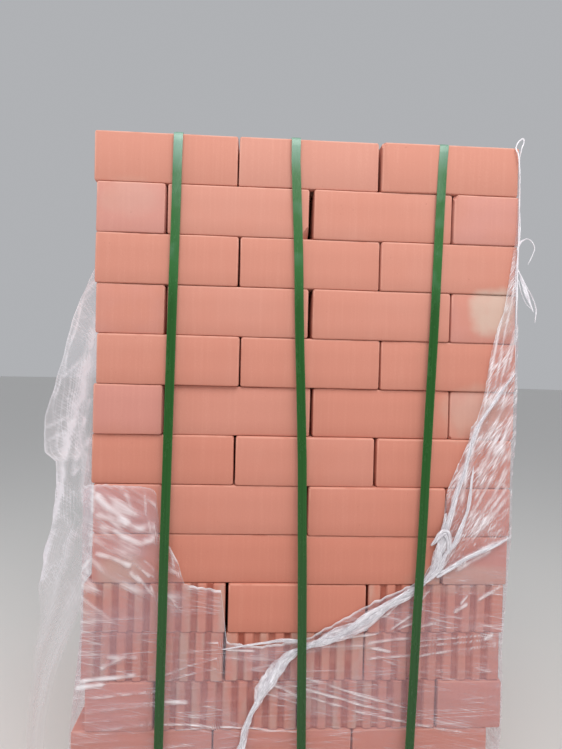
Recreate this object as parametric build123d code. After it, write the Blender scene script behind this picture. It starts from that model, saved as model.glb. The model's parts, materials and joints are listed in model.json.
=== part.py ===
from build123d import *
import os

# A pallet of facing bricks: fourteen courses stacked dry on a timber pallet, tied down
# by three plastic straps and wrapped in stretch film that is torn open at the front.
# Millimetres, +Z up, front towards -Y, origin in the middle of the pallet's underside.

# Brick
brick_length = 250
head_joint = 10          # two headers and a joint make one stretcher
brick_height = 88.5      # 88 nominal, fired half a millimetre over
edge_chamfer = 3

# Voids through the bricks of the top course
void_columns = 6
void_rows = 3
outer_wall = 15
void_web = 12

# Grooves down one long side of the ribbed bricks
groove_count = 8
groove_width = 11
groove_depth = 5

# Stack, which the courses step in and out of
stretchers_across = 3
stretcher_joint = 2.5
stretcher_rows = 8
header_rows = 4
header_row_gap = 1

# Courses from the bottom up: how the bricks lie, the step of the left end, the joints
# from left to right, how far each line stands proud, and which show their ribbed side
courses = [
    ("headers", 0, (3, 4, 3), (-6, -7, -7, -6), ()),
    ("stretchers", -27, (2.5, 2.5), (-9, -9, -8), ()),
    ("headers", -3.5, (7, 5, 4), (-6, -8, -8, -6), (1, 2)),
    ("stretchers", -11, (5, 2), (-7, -8, -7), (0, 1, 2)),
    ("stretchers", -9, (5, 4), (-6, -5, -5), (0, 2)),
    ("headers", 4, (3, 4, 4), (-6, -9, -3, -4), ()),
    ("headers", 4, (6, 6, 2), (-6, -6, 0, -3), ()),
    ("stretchers", 0, (3, 4.8), (-6, -3, -4), ()),
    ("headers", 2, (13, 5, 1.5), (0, -8, -8, -8), ()),
    ("stretchers", 6, (2, 2.5), (1, -2, -3), ()),
    ("headers", 2.5, (4.5, 7, 2), (-2, -1, 1, 0), ()),
    ("stretchers", 0.3, (2.6, 2.2), (1, 0, 3), ()),
    ("headers", 0.6, (3.4, 8, 2.5), (2, 1, 2, 5), ()),
    ("stretchers", -4.5, (1.8, 4.7), (0, 0, 5), ()),
]

# Pallet
side_margin = 7.5            # the deck stands out beyond the nominal stack
end_margin = 13.5
board_thickness = 22
deck_board_width = 115
deck_board_count = 8
bottom_board_width = 100
runner_height = 94
outer_runner_width = 70
inner_runner_width = 50
inner_runner_offset = 60     # centre, either side of the middle strap

# Straps, with the place of each on the top course and under the deck
strap_width = 19
strap_thickness = 0.8
strap_places = {"left": (-236, -247), "middle": (-30, 6), "right": (236, 196)}

# Stretch film
film_thickness = 0.5
film_clearance = 0.5         # film to the proudest brick, and strap to the film
film_foot = 3                # above the deck
film_head = 5                # below the top of the stack
side_tear_depth = 180        # how far back the left side is torn open
side_tear_courses = 12       # up to this course
flap_thickness = 4
flap_foot = 60
flap_reach = 90              # how far the loose end hangs out beside the stack
flap_flare = 0.55
flap_swing = 3               # its free edge is level with the front a third of the way down
flap_lip = 4
flap_steps = 3               # sections above the waist of the wrap

# The torn edge from left to right, in brick lengths from the middle and courses up from
# the deck: stepped over the left bricks, then one long curve up to the right corner
torn_steps = [
    (-3, 6.94), (-1.14, 6.94), (-1.05, 5.84), (-0.86, 5.56),
    (-0.82, 4.95), (-0.55, 4.88), (-0.5, 3.73), (0, 3.89),
]
torn_curve = [
    (0, 3.89), (0.58, 4.72), (0.94, 5.58), (1.05, 6.75),
    (1.16, 8.18), (1.34, 9.66), (1.46, 11.27), (1.51, 12.7), (1.51, 14.3),
]

brick_width = (brick_length - head_joint) / 2
pallet_height = 2 * board_thickness + runner_height
stack_height = len(courses) * brick_height
stack_top = pallet_height + stack_height
stack_width = stretchers_across * brick_length + (stretchers_across - 1) * stretcher_joint
stack_depth = header_rows * brick_length + (header_rows - 1) * header_row_gap
stretcher_row_gap = (stack_depth - stretcher_rows * brick_width) / (stretcher_rows - 1)
pallet_width = stack_width + 2 * side_margin
pallet_depth = stack_depth + 2 * end_margin
side_tear_top = pallet_height + side_tear_courses * brick_height


def brick(voids=False, ribs=False, rounded=False):
    # One brick on its bed face, ribbed side towards -Y
    outline = Rectangle(brick_length, brick_width)
    if rounded:
        outline = chamfer(outline.vertices(), edge_chamfer)
    if voids:
        outline -= void_grid()
    if ribs:
        outline -= groove_row()
    return extrude(outline, brick_height)


def void_grid():
    length = (brick_length - 2 * outer_wall - (void_columns - 1) * void_web) / void_columns
    width = (brick_width - 2 * outer_wall - (void_rows - 1) * void_web) / void_rows
    grid = GridLocations(length + void_web, width + void_web, void_columns, void_rows)
    return grid * Rectangle(length, width)


def groove_row():
    pitch = brick_length / (groove_count + 1)
    along = Pos(0, -brick_width / 2) * GridLocations(pitch, 1, groove_count, 1)
    return along * Rectangle(groove_width, 2 * groove_depth)


plain_brick = brick()
front_brick = brick(rounded=True)
ribbed_brick = brick(rounded=True, ribs=True)
hollow_brick = brick(voids=True)


def line_widths(bond):
    if bond == "stretchers":
        return (brick_length,) * stretchers_across
    return (brick_width, brick_length, brick_length, brick_width)


def line_edges(course):
    # Left and right end of each line of bricks that runs from front to back
    bond, step, joints, fronts, ribbed = course
    edges = []
    left = step - stack_width / 2
    for width, joint in zip(line_widths(bond), joints + (0,)):
        edges.append((left, left + width))
        left += width + joint
    return edges


def course_bricks(level):
    # Every brick of one course, front left first
    bond, step, joints, fronts, ribbed = courses[level]
    base = pallet_height + level * brick_height
    bricks = []
    for line, (left, right) in enumerate(line_edges(courses[level])):
        header = bond == "headers" and line in (0, len(fronts) - 1)
        rows = header_rows if header else stretcher_rows
        deep = brick_length if header else brick_width
        gap = header_row_gap if header else stretcher_row_gap
        front = -stack_depth / 2 - fronts[line]
        for row in range(rows):
            if level == len(courses) - 1:
                shape = hollow_brick
            elif row > 0:
                shape = plain_brick
            else:
                shape = ribbed_brick if line in ribbed else front_brick
            middle = front + row * (deep + gap) + deep / 2
            place = Pos((left + right) / 2, middle, base)
            bricks.append(place * Rot(0, 0, 90 if header else 0) * shape)
    return bricks


# The stack's own limits, which the film and the straps follow
front_face = -stack_depth / 2 - max(max(course[3]) for course in courses)
back_face = stack_depth / 2 - min(min(course[3]) for course in courses)
right_face = max(line_edges(course)[-1][1] for course in courses)


def left_end(level):
    return line_edges(courses[level])[0][0]


def course_foot(level):
    return pallet_height + level * brick_height


def board(width, depth, height, x, y, z):
    place = Pos(x, y, z)
    return place * Box(width, depth, height, align=(Align.CENTER, Align.CENTER, Align.MIN))


def deck_boards():
    pitch = (pallet_depth - deck_board_width) / (deck_board_count - 1)
    first = -(pallet_depth - deck_board_width) / 2
    base = board_thickness + runner_height
    return [
        board(pallet_width, deck_board_width, board_thickness, 0, first + i * pitch, base)
        for i in range(deck_board_count)
    ]


def runners():
    outer = (pallet_width - outer_runner_width) / 2
    sizes = {
        "outer_left": (-outer, outer_runner_width),
        "inner_left": (-inner_runner_offset, inner_runner_width),
        "inner_right": (inner_runner_offset, inner_runner_width),
        "outer_right": (outer, outer_runner_width),
    }
    return {
        name: board(width, pallet_depth, runner_height, x, 0, board_thickness)
        for name, (x, width) in sizes.items()
    }


def bottom_boards():
    end = (pallet_depth - bottom_board_width) / 2
    places = {"front": -end, "middle": 0, "back": end}
    return {
        name: board(pallet_width, bottom_board_width, board_thickness, 0, y, 0)
        for name, y in places.items()
    }


def strap_run(start, end):
    # A straight stretch between two points, with the section held level
    section = Rectangle(strap_width, strap_thickness)
    return loft([Pos(*start) * section, Pos(*end) * section])


def flat_run(x, z, front, back):
    size = (strap_width, back - front, strap_thickness)
    return Pos(x, (front + back) / 2, z) * Box(*size)


def strap(x_top, x_foot):
    # A tight loop: over the top course, down the faces, round the deck's edges and under it
    half = strap_thickness / 2
    cover = film_clearance * 2 + film_thickness
    deck_edge = pallet_depth / 2 + film_clearance + half
    deck_under = board_thickness + runner_height
    top_front = front_face - cover - half
    top_back = back_face + cover + half
    crown = stack_top + strap_thickness
    under = deck_under - strap_thickness
    loop = flat_run(x_top, stack_top + half, top_front - half, top_back + half)
    loop += flat_run(x_foot, deck_under - half, -deck_edge - half, deck_edge + half)
    for face, edge in ((top_front, -deck_edge), (top_back, deck_edge)):
        loop += strap_run((x_foot, edge, pallet_height), (x_top, face, crown))
        loop += strap_run((x_foot, edge, under), (x_foot, edge, pallet_height))
    return loop


def stepped_course():
    # The course that stands out furthest at the left
    return min(range(len(courses)), key=left_end)


def film_left(z):
    # How far out the wrap's left side runs at a height
    out = film_clearance + film_thickness
    step = stepped_course()
    corners = [
        (pallet_height, left_end(0) - out),
        (course_foot(step), left_end(step) - out),
        (course_foot(step + 1), left_end(step) - out),
        (course_foot(step + 3), min(left_end(step + 1), left_end(step + 2)) - out),
        (stack_top, left_end(len(courses) - 1) - out),
    ]
    for (low, start), (high, end) in zip(corners, corners[1:]):
        if z <= high:
            return start + (end - start) * (z - low) / (high - low)
    return corners[-1][1]


def film_outline(inset, rise):
    # The wrap seen from the front, drawn tight over the course that steps out at the left
    foot = pallet_height + film_foot
    head = stack_top - film_head
    step = stepped_course()
    bends = [foot, course_foot(step), course_foot(step + 1), course_foot(step + 3), head]
    points = [(film_left(z) + inset, z) for z in bends]
    if rise > 0:
        points = [(points[0][0], foot - rise), *points, (points[-1][0], head + rise)]
    right = right_face + film_clearance + film_thickness - inset
    with BuildLine() as line:
        Polyline(*points, (right, head + rise), (right, foot - rise), close=True)
    return make_face(line.edges())


def wall_block(face, front, back):
    # A face drawn in X and Z, given depth from front to back
    return Pos(0, back, 0) * extrude(Plane.XZ * face, back - front)


def torn_point(across, up):
    return (across * brick_length, pallet_height + up * brick_height)


def front_tear():
    # What is gone from the front of the film, above the torn edge
    steps = [torn_point(*point) for point in torn_steps]
    curve = [torn_point(*point) for point in torn_curve]
    corner = (steps[0][0], curve[-1][1])
    with BuildLine() as line:
        Polyline(*steps)
        Spline(*curve)
        Polyline(curve[-1], corner, steps[0])
    return make_face(line.edges())


def side_tear():
    # What is gone from the left side of the film, drawn in Y and Z
    front = front_face - brick_width
    back = front_face + side_tear_depth
    corner = torn_point(*torn_steps[0])[1]
    with BuildLine() as line:
        Polyline(
            (front, corner), (front_face, corner), (back, side_tear_top),
            (back, stack_top), (front, stack_top), close=True,
        )
    return make_face(line.edges())


def stretch_film():
    out = film_clearance + film_thickness
    film = wall_block(film_outline(0, 0), front_face - out, back_face + out)
    core = film_outline(film_thickness, brick_height)
    film -= wall_block(core, front_face - film_clearance, back_face + film_clearance)
    film -= wall_block(front_tear(), front_face - brick_width, front_face)
    film -= Pos(-stack_width, 0, 0) * extrude(Plane.YZ * side_tear(), stack_width / 2)
    return film


def flap_ring(z):
    # The loose end at one height, from its free edge in to the side of the wrap
    fall = (side_tear_top - z) / (side_tear_top - flap_foot)
    wall = film_left(max(z, course_foot(stepped_course()))) - film_clearance
    wall = min(wall, -pallet_width / 2 - film_clearance)
    edge = film_left(side_tear_top) - flap_lip - flap_reach * fall ** flap_flare
    back = front_face + side_tear_depth
    front = back - side_tear_depth * min(1, flap_swing * fall)
    return [
        (edge, front, z), (wall, back, z),
        (wall, back + flap_thickness, z), (edge, front + flap_thickness, z),
    ]


def flat_face(points):
    return make_face(Polyline(*points, close=True))


def film_flap():
    # Rings at each bend of the wrap's side, and evenly above the last bend
    step = stepped_course()
    waist = course_foot(step + 3)
    heights = [flap_foot, course_foot(step), course_foot(step + 1), waist]
    rise = (side_tear_top - waist) / flap_steps
    heights += [waist + rise * i for i in range(1, flap_steps + 1)]
    rings = [flap_ring(z) for z in heights]
    faces = [flat_face(rings[0]), flat_face(rings[-1])]
    for low, high in zip(rings, rings[1:]):
        faces.append(flat_face([low[1], low[2], high[2], high[1]]))
        faces.append(flat_face([low[3], low[0], high[0], high[3]]))
        # The leaf twists as it rises, so each broad side is two triangles
        faces.append(flat_face([low[0], low[1], high[1]]))
        faces.append(flat_face([low[0], high[1], high[0]]))
        faces.append(flat_face([low[2], low[3], high[2]]))
        faces.append(flat_face([low[3], high[3], high[2]]))
    return Solid(Shell(faces))


def save(name, shapes):
    solids = [solid for shape in shapes for solid in shape.solids()]
    whole = solids[0] if len(solids) == 1 else Compound(children=solids)
    export_step(whole, f"parts/{name}.step")


os.makedirs("parts", exist_ok=True)

for level in range(len(courses) - 1):
    save(f"course_{level + 1:02d}", course_bricks(level))
corner, *others = course_bricks(len(courses) - 1)
save("corner_brick", [corner])
save(f"course_{len(courses):02d}", others)
save("deck_boards", deck_boards())
for name, piece in runners().items():
    save(f"runner_{name}", [piece])
for name, piece in bottom_boards().items():
    save(f"bottom_board_{name}", [piece])
for name, (x_top, x_foot) in strap_places.items():
    save(f"strap_{name}", [strap(x_top, x_foot)])
save("stretch_film", [stretch_film()])
save("film_flap", [film_flap()])
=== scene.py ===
import json
import math
import random

import bmesh
import bpy
from mathutils import Matrix, Vector, noise

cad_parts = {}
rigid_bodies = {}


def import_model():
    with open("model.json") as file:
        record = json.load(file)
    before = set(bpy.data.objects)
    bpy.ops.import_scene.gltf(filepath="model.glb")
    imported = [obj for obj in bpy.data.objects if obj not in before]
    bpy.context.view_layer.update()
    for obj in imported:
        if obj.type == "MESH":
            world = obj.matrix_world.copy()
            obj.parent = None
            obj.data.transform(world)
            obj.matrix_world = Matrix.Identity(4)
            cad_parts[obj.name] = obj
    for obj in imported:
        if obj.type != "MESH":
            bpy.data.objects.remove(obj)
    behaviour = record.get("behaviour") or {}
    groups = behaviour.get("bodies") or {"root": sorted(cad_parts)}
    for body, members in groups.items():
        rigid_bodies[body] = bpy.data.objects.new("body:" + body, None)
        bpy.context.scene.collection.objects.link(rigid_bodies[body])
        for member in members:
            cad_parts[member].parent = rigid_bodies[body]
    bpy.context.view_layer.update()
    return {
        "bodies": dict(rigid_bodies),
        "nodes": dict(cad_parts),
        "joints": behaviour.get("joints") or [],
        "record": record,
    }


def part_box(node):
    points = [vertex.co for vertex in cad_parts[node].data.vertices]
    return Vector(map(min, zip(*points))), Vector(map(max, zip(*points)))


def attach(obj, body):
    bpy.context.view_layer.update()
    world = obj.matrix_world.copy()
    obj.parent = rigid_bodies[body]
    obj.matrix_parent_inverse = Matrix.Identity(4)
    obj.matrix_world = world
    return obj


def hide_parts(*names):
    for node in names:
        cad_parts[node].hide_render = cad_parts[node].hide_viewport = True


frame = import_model()
print("frame loaded,", len(frame["nodes"]), "nodes")

scene = bpy.context.scene
scene.view_settings.view_transform = "Standard"


# camera, at the photograph's viewing angle

cameraSet = dict(place=(-0.1027, -1.5147, 0.9687), turn=3.163, tilt=-0.622, lean=1.42,
                 lens=36.51, sensor=36, reach=100)


def placeCamera(c):
    data = bpy.data.cameras.new("camera")
    data.sensor_fit = "HORIZONTAL"
    data.sensor_width = c["sensor"]
    data.lens = c["lens"]
    data.clip_end = c["reach"]
    camera = bpy.data.objects.new("camera", data)
    turn = Matrix.Rotation(-math.radians(c["turn"]), 4, "Z")
    tilt = Matrix.Rotation(math.radians(90 + c["tilt"]), 4, "X")
    lean = Matrix.Rotation(math.radians(c["lean"]), 4, "Z")
    camera.matrix_world = Matrix.Translation(c["place"]) @ turn @ tilt @ lean
    scene.collection.objects.link(camera)
    scene.camera = camera


placeCamera(cameraSet)


# helpers for numbers, meshes and pieces

sharpAngle = 0.7                           # edges that turn by more are rounded
touching = 1e-5                            # metres
tenths = 10000                             # tenths of a millimetre in a metre

noise.seed_set(1)                          # or else its vectors would differ in each run


def held(value, low=0.0, high=1.0):
    return min(high, max(low, value))


def rising(value, start, reach):           # 0 up to the start, 1 beyond its reach
    return held((value - start) / reach)


def ripple(*place):                        # smooth noise either side of 0
    return noise.noise(Vector(place))


def inMetres(rows, parts=1000, shares=0):  # from mm, apart from the shares that end each row
    split = len(rows[0]) - shares
    return [tuple(n / parts for n in row[:split]) + row[split:] for row in rows]


def finished(bm, name):                    # its mesh
    mesh = bpy.data.meshes.new(name)
    bm.to_mesh(mesh)
    bm.free()
    return mesh


def joinTo(whole, mesh):
    whole.from_mesh(mesh)
    bpy.data.meshes.remove(mesh)


def paint(mesh, labels, values):           # a row of values for each vertex, one for each label
    for i, label in enumerate(labels):
        layer = mesh.attributes.new(label, "FLOAT", "POINT")
        layer.data.foreach_set("value", [row[i] for row in values])


def shadeSmooth(mesh, degrees):
    mesh.polygons.foreach_set("use_smooth", [True] * len(mesh.polygons))
    mesh.set_sharp_from_angle(angle=math.radians(degrees))


def addPiece(mesh, material, slotName, *replaced):         # named as its mesh is
    piece = bpy.data.objects.new(mesh.name, mesh)
    scene.collection.objects.link(piece)
    mesh.materials.append(material)
    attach(piece, "root")
    if replaced:
        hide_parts(*replaced)
    return piece


# shader maths

class Signal:
    def __init__(self, tree, socket=None):
        self.tree = tree
        self.socket = socket

    def node(self, kind, settings=None, values=None, out=0):
        made = self.tree.nodes.new("ShaderNode" + kind)
        for key, value in (settings or {}).items():
            setattr(made, key, value)
        for key, value in (values or {}).items():
            if isinstance(value, Signal):
                self.tree.links.new(value.socket, made.inputs[key])
            else:
                made.inputs[key].default_value = value
        return Signal(self.tree, made.outputs[out])

    def sum(self, operation, first, second):
        return self.node("Math", {"operation": operation}, {0: first, 1: second})

    def __add__(self, other):
        return self.sum("ADD", self, other)

    def __radd__(self, other):
        return self.sum("ADD", other, self)

    def __sub__(self, other):
        return self.sum("SUBTRACT", self, other)

    def __rsub__(self, other):
        return self.sum("SUBTRACT", other, self)

    def __mul__(self, other):
        return self.sum("MULTIPLY", self, other)

    def __rmul__(self, other):
        return self.sum("MULTIPLY", other, self)

    def __pow__(self, other):
        return self.sum("POWER", self, other)

    def __abs__(self):
        return self.sum("ABSOLUTE", self, 0)


def newMaterial(name):
    material = bpy.data.materials.new(name)
    material.use_nodes = True
    shader = material.node_tree.nodes["Principled BSDF"]
    return material, shader, Signal(material.node_tree)


def feed(shader, name, value):
    if isinstance(value, Signal):
        value.tree.links.new(value.socket, shader.inputs[name])
    else:
        shader.inputs[name].default_value = value


def mixed(first, second, mask, blend="MIX"):               # of colours
    return mask.node("Mix", {"data_type": "RGBA", "blend_type": blend},
                     {0: mask, 6: first, 7: second}, out=2)


def between(value, low, high):             # 0 at low, 1 at high, smooth
    return value.node("MapRange", {"interpolation_type": "SMOOTHSTEP"},
                      {0: value, 1: low, 2: high})


def sides(tree):                           # across, back and up, in the object's own metres
    split = tree.node("SeparateXYZ", None, {0: tree.node("TexCoord", out=3)})
    return [Signal(tree.tree, socket) for socket in split.socket.node.outputs]


def painted(tree, name):                   # a value kept on the mesh
    return tree.node("Attribute", {"attribute_name": name}, out=2)


def places(tree, cell=(1, 1, 1), degrees=0, uv=False):
    # each cell is so many metres long and wide, and its length is turned by the degrees
    start = tree.node("TexCoord", out=2 if uv else 3)
    return tree.node("Mapping", {"vector_type": "TEXTURE"},
                     {0: start, 2: (0, 0, math.radians(degrees)), 3: cell})


def grain(where, scale, detail=3, rough=0.5, bend=0):
    return where.node("TexNoise", None, {"Vector": where, "Scale": scale, "Detail": detail,
                                         "Roughness": rough, "Distortion": bend})


def moved(where, by):                      # a pattern set off by a value, so bricks differ
    shift = where.node("CombineXYZ", None, {0: by * 31.7, 1: by * 17.3, 2: by * 5.9})
    return where.node("VectorMath", {"operation": "ADD"}, {0: where, 1: shift})


def bumped(height, distance, strength):
    return height.node("Bump", None, {"Strength": strength, "Distance": distance,
                                      "Height": height})


# fired clay

# the foot colour is painted shade, multiplied in towards the bottom of the stack
clay = dict(body=(0.6, 0.276, 0.214, 1), warm=(0.59, 0.256, 0.192, 1),
            pale=(0.78, 0.44, 0.35, 1), pink=(0.59, 0.282, 0.244, 1),
            dark=(0.3, 0.095, 0.062, 1), deep=(0.4, 0.13, 0.092, 1),
            dust=(0.56, 0.415, 0.36, 1), lime=(0.6, 0.49, 0.415, 1),
            foot=(0.96, 0.8, 0.75, 1), rough=0.86, gloss=0.25, relief=(0.0006, 0.4),
            cloudScale=7, sandScale=420, poreScale=150, rimScale=30,
            dragCell=(0.005, 0.005, 0.16), rutCell=(0.03, 0.03, 0.09), shadeBreakCell=(0.05, 0.05, 0.04))

# pale stains: middle across and up, half width and height, strength
stains = inMetres([(338, 1078, 44, 42, 0.75), (-318, 600, 50, 30, 0.6), (300, 590, 95, 26, 0.45),
                   (310, 893, 60, 50, 0.4), (-318, 1262, 50, 34, 0.14)], shares=1)


def stained(tree):                         # on the front of the stack only
    across, back, up = sides(tree)
    ragged = grain(places(tree), 24, 5) * 2.4 - 1.2
    total = None
    for x, z, wide, high, strength in stains:
        off = (abs(across - x) * (1 / wide)) ** 2.5 + (abs(up - z) * (1 / high)) ** 2.5
        spot = between(off + ragged, 1.7, 0.0) * strength
        total = spot if total is None else total + spot
    return total * between(back, -0.485, -0.495)


def clayMaterial():
    c = clay
    material, shader, tree = newMaterial("clay")
    tone = painted(tree, "tone")
    near = moved(places(tree), tone)
    cloud = grain(near, c["cloudScale"], 4, 0.55)
    sand = grain(near, c["sandScale"], 2, 0.7)
    pores = between(grain(near, c["poreScale"], 2, 0.6), 0.28, 0.20)
    drag = grain(moved(places(tree, c["dragCell"]), tone), 1)
    ruts = grain(moved(places(tree, c["rutCell"]), tone), 1, 4)
    lessShade = between(grain(moved(places(tree, c["shadeBreakCell"]), tone), 1), 0.44, 0.62)
    patchyPale = between(grain(near, c["rimScale"]), 0.25, 0.55)
    colour = mixed(c["warm"], c["body"], between(cloud + tone * 0.35, 0.35, 0.85))
    colour = mixed(colour, c["pink"], painted(tree, "header") * between(cloud, 0.25, 0.6) * 0.8)
    colour = mixed(colour, c["pale"], between(sand * 0.5 + drag * 0.5, 0.45, 0.75) * 0.16)
    colour = mixed(colour, c["dark"], pores * 0.25)
    # painted highlight on the rounded brick edges, in patches
    colour = mixed(colour, c["pale"], painted(tree, "rim") * patchyPale * 0.75)
    colour = mixed(colour, c["dust"], painted(tree, "ribs") * between(ruts, 0.40, 0.66))
    # painted shade on the groove floors of the ribbed bricks, lighter in patches
    colour = mixed(colour, c["deep"], painted(tree, "sunk") * (0.92 - lessShade * 0.42))
    colour = mixed(colour, c["lime"], stained(tree))
    # painted shade: the clay darkens towards the bottom of the stack
    colour = mixed(colour, c["foot"], between(sides(tree)[2], 1.45, 0.35), "MULTIPLY")
    feed(shader, "Base Color", colour)
    feed(shader, "Roughness", c["rough"] + (sand - 0.5) * 0.12)
    feed(shader, "Specular IOR Level", c["gloss"])
    feed(shader, "Normal", bumped(sand * 0.6 + drag * 0.4 - pores, *c["relief"]))
    return material


clayBrick = clayMaterial()


# bricks: every one is rebuilt in the box of its CAD solid, with rounded edges

brickShape = dict(edge=0.0042, ribEdge=0.0022, cellEdge=0.001, rounding=2, step=0.034, rows=3,
                  wander=0.0007, ribs=8, ribPitch=0.0278, ribWidth=0.011, ribDepth=0.005,
                  cellsLong=6, cellsWide=3, wall=0.015, web=0.012, frontLine=-0.49,
                  chamferCorners=30, smooth=28, seed=14)

# pale rims, a painted highlight on the rounded brick edges: nearest and furthest from a side, and
# at the top, foot and upright edges
brickRim = dict(near=0.0002, far=0.4, top=1.0, foot=0.1, upright=0.4)

# broken corners: node, middle of the chip across and up, depth
chips = [("course_13", -0.0105, 1.206, 0.012), ("course_14", 0.1275, 1.375, 0.007),
         ("course_13", 0.26, 1.288, 0.007), ("course_09", 0.276, 0.846, 0.005),
         ("course_03", 0.287, 0.4, 0.009), ("course_08", -0.148, 0.838, 0.006)]
chipCut = dict(slant=(1.0, 0.8, 0.7), hollow=0.12, slack=0.004, reach=0.02)


def looseBoxes(node):                      # the box and the corners of each solid in a node
    bm = bmesh.new()
    bm.from_mesh(node.data)
    bmesh.ops.remove_doubles(bm, verts=bm.verts, dist=touching)
    left = set(bm.verts)
    found = []
    while left:
        reach = [left.pop()]
        for v in reach:
            for edge in v.link_edges:
                other = edge.other_vert(v)
                if other in left:
                    left.remove(other)
                    reach.append(other)
        low = Vector([min(v.co[i] for v in reach) for i in range(3)])
        high = Vector([max(v.co[i] for v in reach) for i in range(3)])
        found.append((low, high, len(reach)))
    bm.free()
    return sorted(found, key=lambda b: tuple(round(c, 4) for c in (b[0].y, b[0].x)))


def evenCuts(low, high, count):
    return [low + (high - low) * i / count for i in range(count + 1)]


def cellCuts(low, high, count, wall, web):
    cell = (high - low - 2 * wall - (count - 1) * web) / count
    cuts = [low]
    for i in range(count):
        start = low + wall + i * (cell + web)
        cuts += [start, start + cell]
    return cuts + [high]


def planGrid(xCuts, yCuts, z, gone=lambda i, j: False):
    bm = bmesh.new()
    nx, ny = len(xCuts) - 1, len(yCuts) - 1
    bmesh.ops.create_grid(bm, x_segments=nx, y_segments=ny, size=0.5)
    out = []
    for face in bm.faces:
        middle = face.calc_center_median()
        if gone(int((middle.x + 0.5) * nx), int((middle.y + 0.5) * ny)):
            out.append(face)
    for v in bm.verts:
        v.co = Vector((xCuts[round((v.co.x + 0.5) * nx)], yCuts[round((v.co.y + 0.5) * ny)], z))
    bmesh.ops.delete(bm, geom=out, context="FACES")
    return bm


def pulledUp(bm, height, rows):
    pulled = bmesh.ops.extrude_face_region(bm, geom=bm.faces[:])
    top = [v for v in pulled["geom"] if isinstance(v, bmesh.types.BMVert)]
    bmesh.ops.translate(bm, verts=top, vec=(0, 0, height))
    if rows > 1:
        upright = [e for e in bm.edges if abs(e.verts[0].co.z - e.verts[1].co.z) > height / 2]
        bmesh.ops.subdivide_edges(bm, edges=upright, cuts=rows - 1, use_grid_fill=True)
    bmesh.ops.recalc_face_normals(bm, faces=bm.faces)


def outermost(edge, low, high):            # it is one of the box's own edges
    return all(sum(abs(v.co[i] - low[i]) < touching or abs(v.co[i] - high[i]) < touching
                   for i in range(3)) > 1 for v in edge.verts)


def fromSides(point, low, high):           # how far the nearest side of the box is
    return min(min(abs(point[i] - low[i]), abs(point[i] - high[i])) for i in range(3))


def sharpEdges(bm):
    return [e for e in bm.edges if len(e.link_faces) == 2 and e.calc_face_angle() > sharpAngle]


def roundEdges(bm, edges, radius, rounding):
    if edges:
        bmesh.ops.bevel(bm, geom=edges, offset=radius, offset_type="OFFSET", affect="EDGES",
                        segments=rounding, profile=0.5, material=-1, clamp_overlap=True)


def chipFor(name, low, high):
    for node, x, z, depth in chips:
        if node == name and low.x - chipCut["slack"] < x < high.x + chipCut["slack"]:
            if min(abs(x - low.x), abs(x - high.x)) < chipCut["reach"]:
                return Vector((x, low.y, z)), depth
    return None


def chipCorner(bm, where, depth, low, high):
    corner = Vector([low[i] if abs(where[i] - low[i]) < abs(where[i] - high[i]) else high[i]
                     for i in range(3)])
    middle = (low + high) / 2
    inward = Vector([math.copysign(w, m - c)
                     for w, m, c in zip(chipCut["slant"], middle, corner)]).normalized()
    bmesh.ops.bisect_plane(bm, geom=bm.verts[:] + bm.edges[:] + bm.faces[:], clear_inner=True,
                           plane_co=corner + inward * depth, plane_no=inward)
    rim = [e for e in bm.edges if len(e.link_faces) == 1]
    lessShade = bmesh.ops.holes_fill(bm, edges=rim, sides=0)["faces"]
    for v in bmesh.ops.poke(bm, faces=lessShade)["verts"]:
        v.co += inward * depth * chipCut["hollow"]


def dustAt(place):                         # kiln dust on the ribs, least at the right
    clean = rising(place.x, 0.12, 0.05)
    return (0.85 - 0.70 * clean
            - 0.35 * rising(place.z, 0.49, 0.02) * rising(-place.x, 0.20, 0.02))


def rimAt(place, low, high):               # painted highlight, palest on the upper edges
    edge = brickShape["edge"]
    if not brickRim["near"] < fromSides(place, low, high) < edge * brickRim["far"]:
        return 0.0
    if high.z - place.z < edge:
        return brickRim["top"]
    return brickRim["foot"] if place.z - low.z < edge else brickRim["upright"]


def brickCuts(low, high, kind, front, along):
    # where the plan is cut across and back, the parts of it that are left out, and its rows
    b = brickShape
    if kind == "hollow":
        long = (b["cellsLong"], b["wall"], b["web"])
        wide = (b["cellsWide"], b["wall"], b["web"])
        return (cellCuts(low.x, high.x, *(long if along else wide)),
                cellCuts(low.y, high.y, *(wide if along else long)),
                lambda i, j: i % 2 == 1 and j % 2 == 1, 1)
    if kind == "ribbed":
        wall = (high.x - low.x - (b["ribs"] - 1) * b["ribPitch"] - b["ribWidth"]) / 2
        return (cellCuts(low.x, high.x, b["ribs"], wall, b["ribPitch"] - b["ribWidth"]),
                [low.y, low.y + b["ribDepth"], high.y],
                lambda i, j: i % 2 == 1 and j == 0, b["rows"])
    count = round((high.x - low.x) / b["step"]) if front else 1
    return (evenCuts(low.x, high.x, count), [low.y, high.y],
            lambda i, j: False, b["rows"] if front else 1)


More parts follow.
